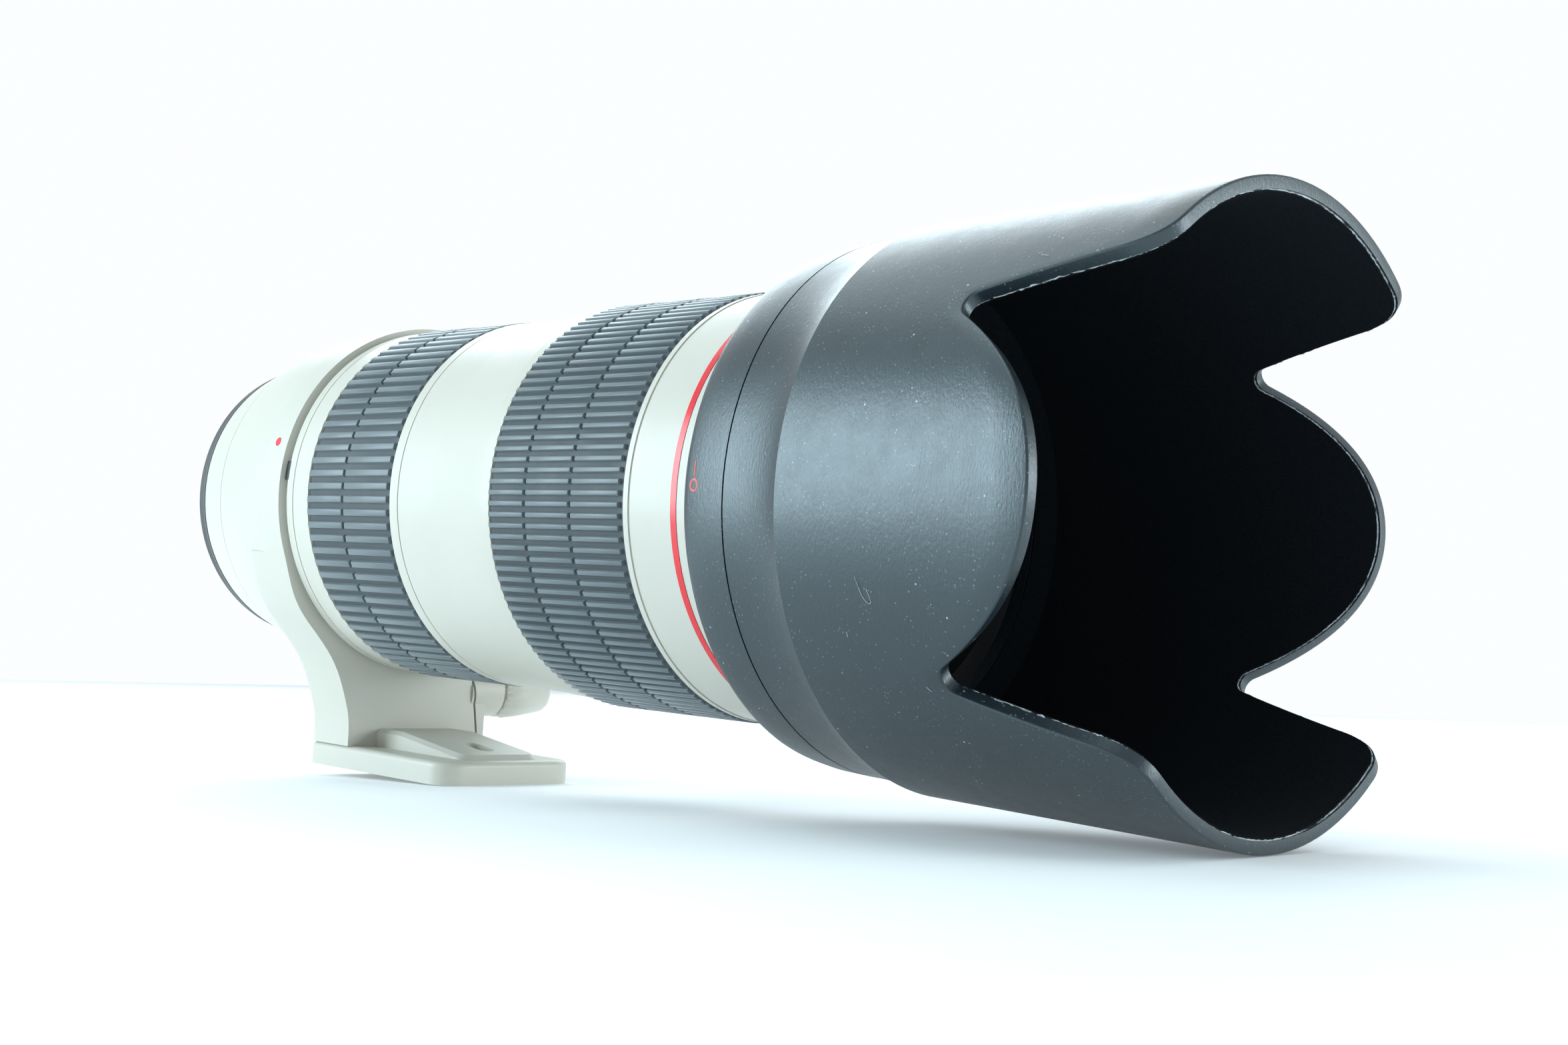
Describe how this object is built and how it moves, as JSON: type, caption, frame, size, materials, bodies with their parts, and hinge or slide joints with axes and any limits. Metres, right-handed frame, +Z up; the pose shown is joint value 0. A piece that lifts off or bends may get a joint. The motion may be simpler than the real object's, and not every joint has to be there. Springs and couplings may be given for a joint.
{
  "type": "telephoto zoom camera lens",
  "caption": "White telephoto zoom lens with ribbed zoom and focus rings, a red trim ring, a tripod collar with foot and clamp knob, and a black petal hood.",
  "frame": {"origin": "centre of the mounting flange's face, on the optical axis", "axes": "+Y along the optical axis out of the camera end, so the lens looks along -Y; +Z up, with the foot below; +X is the side of the switches and the clamp knob"},
  "size_m": [0.1075, 0.2873, 0.118],
  "materials": {
    "white_paint": "semi-gloss cream-white stoved paint",
    "grip_rubber": "matt ribbed rubber",
    "seal_rubber": "matt",
    "mount_chrome": "turned, satin plated",
    "steel": "turned",
    "black_plastic": "fine moulded grain",
    "gold_contact": "polished plating",
    "red_trim": "gloss",
    "hood_plastic": "satin with worn edges",
    "flock": "short black flock",
    "glass": "coated",
    "clear_plastic": "polished",
    "black_alloy": "matt black anodised",
    "bare_alloy": "turned",
    "board": "solder resist",
    "blade_steel": "blackened"
  },
  "bodies": {
    "barrel": {"mount_ring": "mount_chrome", "mount_seal": "seal_rubber", "mount_screws": "steel", "contact_block": "black_plastic", "contact_pins": "gold_contact", "rear_barrel": "white_paint", "main_tube": "black_alloy", "barrel_ring": "white_paint", "mid_barrel": "white_paint", "scale_window": "clear_plastic", "switch_panel": "black_plastic", "front_barrel": "white_paint", "red_ring": "red_trim", "hood_mount_ring": "black_plastic", "front_cell": "black_alloy", "front_glass": "glass", "name_ring": "black_plastic", "iris_housing": "black_alloy", "circuit_board": "board", "motor_stator": "black_alloy", "rear_cell": "black_alloy", "rear_glass": "glass", "stabilizer_frame": "black_alloy"},
    "collar": {"tripod_collar": "white_paint", "foot_bush_large": "steel", "foot_bush_small": "steel", "collar_dot": "red_trim"},
    "clamp": {"clamp_knob": "white_paint"},
    "zoom": {"zoom_sleeve": "white_paint", "zoom_grip": "grip_rubber", "cam_tube": "bare_alloy", "zoom_key": "bare_alloy"},
    "focus": {"focus_sleeve": "white_paint", "focus_grip": "grip_rubber"},
    "scale": {"distance_scale": "black_plastic"},
    "variator": {"variator_cell": "black_alloy", "variator_glass": "glass"},
    "compensator": {"compensator_cell": "black_alloy", "compensator_glass": "glass"},
    "focus_carrier": {"focus_cell": "black_alloy", "focus_glass": "glass"},
    "stabilizer_cross": {"stabilizer_slide": "black_alloy"},
    "stabilizer": {"stabilizer_cell": "black_alloy", "stabilizer_glass": "glass"},
    "iris": {"iris_ring": "black_alloy"},
    "hood": {"hood_shell": "hood_plastic", "hood_liner": "flock"},
    "focus_mode": {"focus_mode_switch": "black_plastic"},
    "focus_range": {"focus_range_switch": "black_plastic"},
    "stabilizer_on": {"stabilizer_switch": "black_plastic"},
    "stabilizer_mode": {"stabilizer_mode_switch": "black_plastic"},
    "blade_1": {"iris_blade_1": "blade_steel"},
    "blade_2": {"iris_blade_2": "blade_steel"},
    "blade_3": {"iris_blade_3": "blade_steel"},
    "blade_4": {"iris_blade_4": "blade_steel"},
    "blade_5": {"iris_blade_5": "blade_steel"},
    "blade_6": {"iris_blade_6": "blade_steel"},
    "blade_7": {"iris_blade_7": "blade_steel"},
    "blade_8": {"iris_blade_8": "blade_steel"}
  },
  "joints": [
    {"name": "collar_turn", "type": "hinge", "parent": "barrel", "child": "collar", "pos_m": [0, 0, 0], "axis": [0, 1, 0], "continuous": true},
    {"name": "clamp_turn", "type": "hinge", "parent": "collar", "child": "clamp", "pos_m": [0.034, -0.044, -0.0455], "axis": [1, 0, 0], "range_deg": [0, 720]},
    {"name": "zoom_turn", "type": "hinge", "parent": "barrel", "child": "zoom", "pos_m": [0, 0, 0], "axis": [0, 1, 0], "range_deg": [0, 70]},
    {"name": "variator_slide", "type": "slide", "parent": "barrel", "child": "variator", "axis": [0, -1, 0], "range_m": [0, 0.022]},
    {"name": "compensator_slide", "type": "slide", "parent": "barrel", "child": "compensator", "axis": [0, -1, 0], "range_m": [0, 0.006]},
    {"name": "focus_turn", "type": "hinge", "parent": "barrel", "child": "focus", "pos_m": [0, 0, 0], "axis": [0, 1, 0], "range_deg": [0, 130]},
    {"name": "focus_slide", "type": "slide", "parent": "barrel", "child": "focus_carrier", "axis": [0, -1, 0], "range_m": [0, 0.008]},
    {"name": "scale_turn", "type": "hinge", "parent": "barrel", "child": "scale", "pos_m": [0, 0, 0], "axis": [0, 1, 0], "range_deg": [0, 52.1]},
    {"name": "stabilizer_yaw", "type": "slide", "parent": "barrel", "child": "stabilizer_cross", "axis": [1, 0, 0], "range_m": [-0.001, 0.001]},
    {"name": "stabilizer_pitch", "type": "slide", "parent": "stabilizer_cross", "child": "stabilizer", "axis": [0, 0, 1], "range_m": [-0.001, 0.001]},
    {"name": "iris_turn", "type": "hinge", "parent": "barrel", "child": "iris", "pos_m": [0, 0, 0], "axis": [0, -1, 0], "range_deg": [0, 40]},
    {"name": "blade_1_swing", "type": "hinge", "parent": "barrel", "child": "blade_1", "pos_m": [0.0275, -0.055, 0], "axis": [0, -1, 0], "range_deg": [0, 22.1]},
    {"name": "blade_2_swing", "type": "hinge", "parent": "barrel", "child": "blade_2", "pos_m": [0.01945, -0.055, 0.01945], "axis": [0, -1, 0], "range_deg": [0, 22.1]},
    {"name": "blade_3_swing", "type": "hinge", "parent": "barrel", "child": "blade_3", "pos_m": [0, -0.055, 0.0275], "axis": [0, -1, 0], "range_deg": [0, 22.1]},
    {"name": "blade_4_swing", "type": "hinge", "parent": "barrel", "child": "blade_4", "pos_m": [-0.01945, -0.055, 0.01945], "axis": [0, -1, 0], "range_deg": [0, 22.1]},
    {"name": "blade_5_swing", "type": "hinge", "parent": "barrel", "child": "blade_5", "pos_m": [-0.0275, -0.055, 0], "axis": [0, -1, 0], "range_deg": [0, 22.1]},
    {"name": "blade_6_swing", "type": "hinge", "parent": "barrel", "child": "blade_6", "pos_m": [-0.01945, -0.055, -0.01945], "axis": [0, -1, 0], "range_deg": [0, 22.1]},
    {"name": "blade_7_swing", "type": "hinge", "parent": "barrel", "child": "blade_7", "pos_m": [0, -0.055, -0.0275], "axis": [0, -1, 0], "range_deg": [0, 22.1]},
    {"name": "blade_8_swing", "type": "hinge", "parent": "barrel", "child": "blade_8", "pos_m": [0.01945, -0.055, -0.01945], "axis": [0, -1, 0], "range_deg": [0, 22.1]},
    {"name": "focus_mode_slide", "type": "slide", "parent": "barrel", "child": "focus_mode", "axis": [0, -1, 0], "range_m": [0, 0.0035]},
    {"name": "focus_range_slide", "type": "slide", "parent": "barrel", "child": "focus_range", "axis": [0, -1, 0], "range_m": [0, 0.0035]},
    {"name": "stabilizer_on_slide", "type": "slide", "parent": "barrel", "child": "stabilizer_on", "axis": [0, -1, 0], "range_m": [0, 0.0035]},
    {"name": "stabilizer_mode_slide", "type": "slide", "parent": "barrel", "child": "stabilizer_mode", "axis": [0, -1, 0], "range_m": [0, 0.0035]},
    {"name": "hood_turn", "type": "hinge", "parent": "barrel", "child": "hood", "pos_m": [0, 0, 0], "axis": [0, 1, 0], "range_deg": [-60, 0]}
  ],
  "couplings": [
    {"joint": "variator_slide", "follows": "zoom_turn", "m_per_rad": 0.018},
    {"joint": "compensator_slide", "follows": "zoom_turn", "m_per_rad": 0.0049},
    {"joint": "focus_slide", "follows": "focus_turn", "m_per_rad": 0.0035},
    {"joint": "scale_turn", "follows": "focus_turn", "ratio": 0.4},
    {"joint": "blade_1_swing", "follows": "iris_turn", "ratio": 0.55},
    {"joint": "blade_2_swing", "follows": "iris_turn", "ratio": 0.55},
    {"joint": "blade_3_swing", "follows": "iris_turn", "ratio": 0.55},
    {"joint": "blade_4_swing", "follows": "iris_turn", "ratio": 0.55},
    {"joint": "blade_5_swing", "follows": "iris_turn", "ratio": 0.55},
    {"joint": "blade_6_swing", "follows": "iris_turn", "ratio": 0.55},
    {"joint": "blade_7_swing", "follows": "iris_turn", "ratio": 0.55},
    {"joint": "blade_8_swing", "follows": "iris_turn", "ratio": 0.55}
  ]
}
